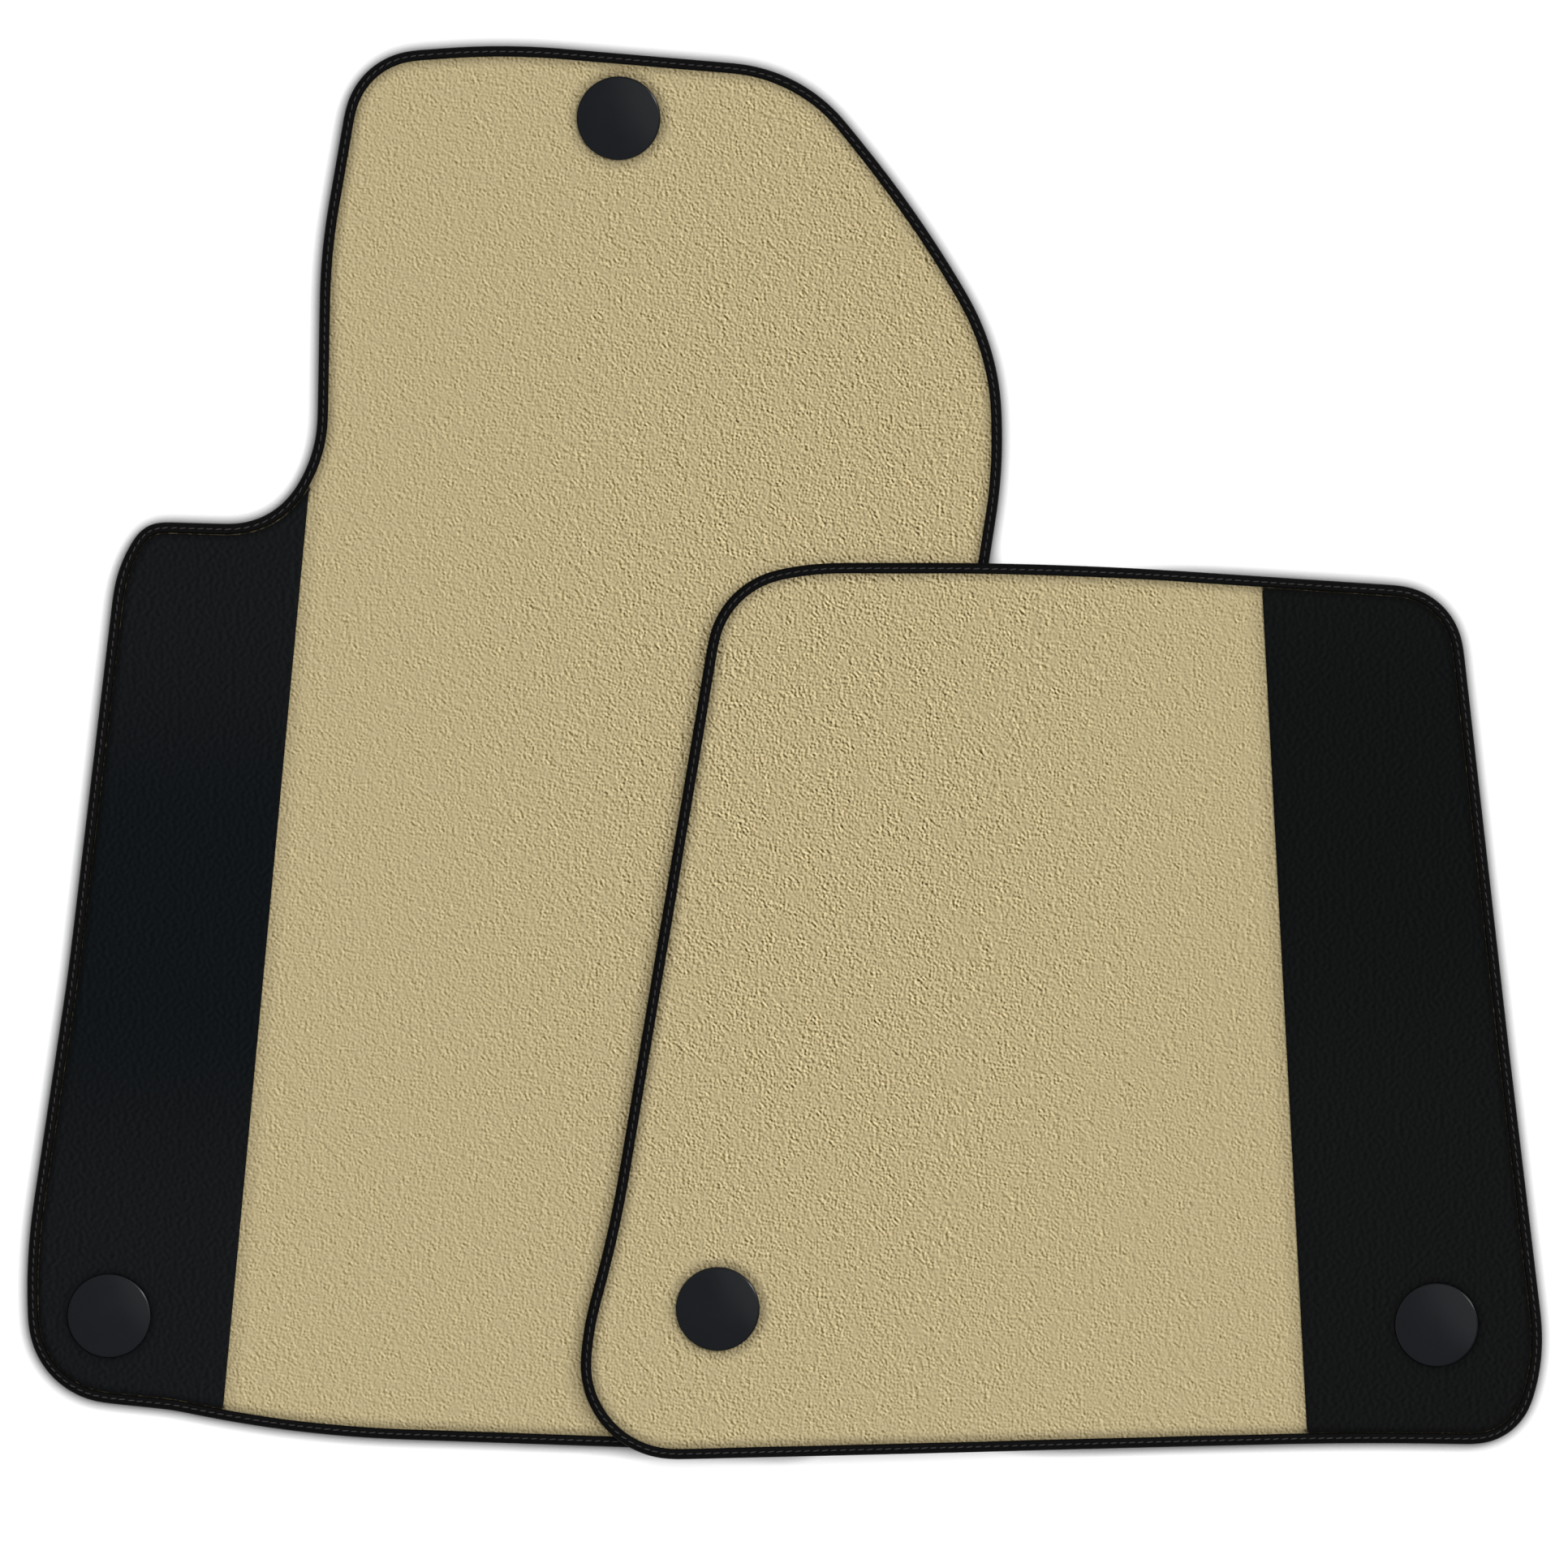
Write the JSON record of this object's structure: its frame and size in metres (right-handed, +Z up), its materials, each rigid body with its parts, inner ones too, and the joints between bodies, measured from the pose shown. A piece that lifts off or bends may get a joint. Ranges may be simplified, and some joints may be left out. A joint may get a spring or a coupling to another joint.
{
  "type": "floor mat set",
  "caption": "Front vehicle floor mats in beige pile with black side panels, bound edges and press fasteners; the passenger mat lies across the driver mat.",
  "frame": {"origin": "middle of the set's plan box, on the floor that the mats lie on", "axes": "+X to the right across the vehicle, +Y forwards to the toe of the driver mat, +Z up"},
  "size_m": [0.8396, 0.7828, 0.0193],
  "materials": {
    "rubber_backing": "matt, fine granules",
    "beige_carpet": "cut pile",
    "black_panel": "short soft pile",
    "black_binding": "woven tape, satin",
    "grey_thread": "twisted thread",
    "cap_plastic": "satin moulded",
    "socket_plastic": "matt moulded",
    "ring_steel": "spring steel"
  },
  "bodies": {
    "driver_mat": {"driver_backing": "rubber_backing", "driver_carpet": "beige_carpet", "driver_side_panel": "black_panel", "driver_edge_binding": "black_binding", "driver_binding_thread": "grey_thread", "driver_toe_cap": "cap_plastic", "driver_toe_socket": "socket_plastic", "driver_toe_snap_ring": "ring_steel", "driver_outer_cap": "cap_plastic", "driver_outer_socket": "socket_plastic", "driver_outer_snap_ring": "ring_steel", "driver_inner_cap": "cap_plastic", "driver_inner_socket": "socket_plastic", "driver_inner_snap_ring": "ring_steel"},
    "passenger_mat": {"passenger_backing": "rubber_backing", "passenger_carpet": "beige_carpet", "passenger_side_panel": "black_panel", "passenger_edge_binding": "black_binding", "passenger_binding_thread": "grey_thread", "passenger_inner_cap": "cap_plastic", "passenger_inner_socket": "socket_plastic", "passenger_inner_snap_ring": "ring_steel", "passenger_outer_cap": "cap_plastic", "passenger_outer_socket": "socket_plastic", "passenger_outer_snap_ring": "ring_steel"}
  },
  "joints": [
    {"name": "passenger_lift", "type": "slide", "parent": "driver_mat", "child": "passenger_mat", "axis": [0, 0, 1], "range_m": [0, 0.25]}
  ]
}
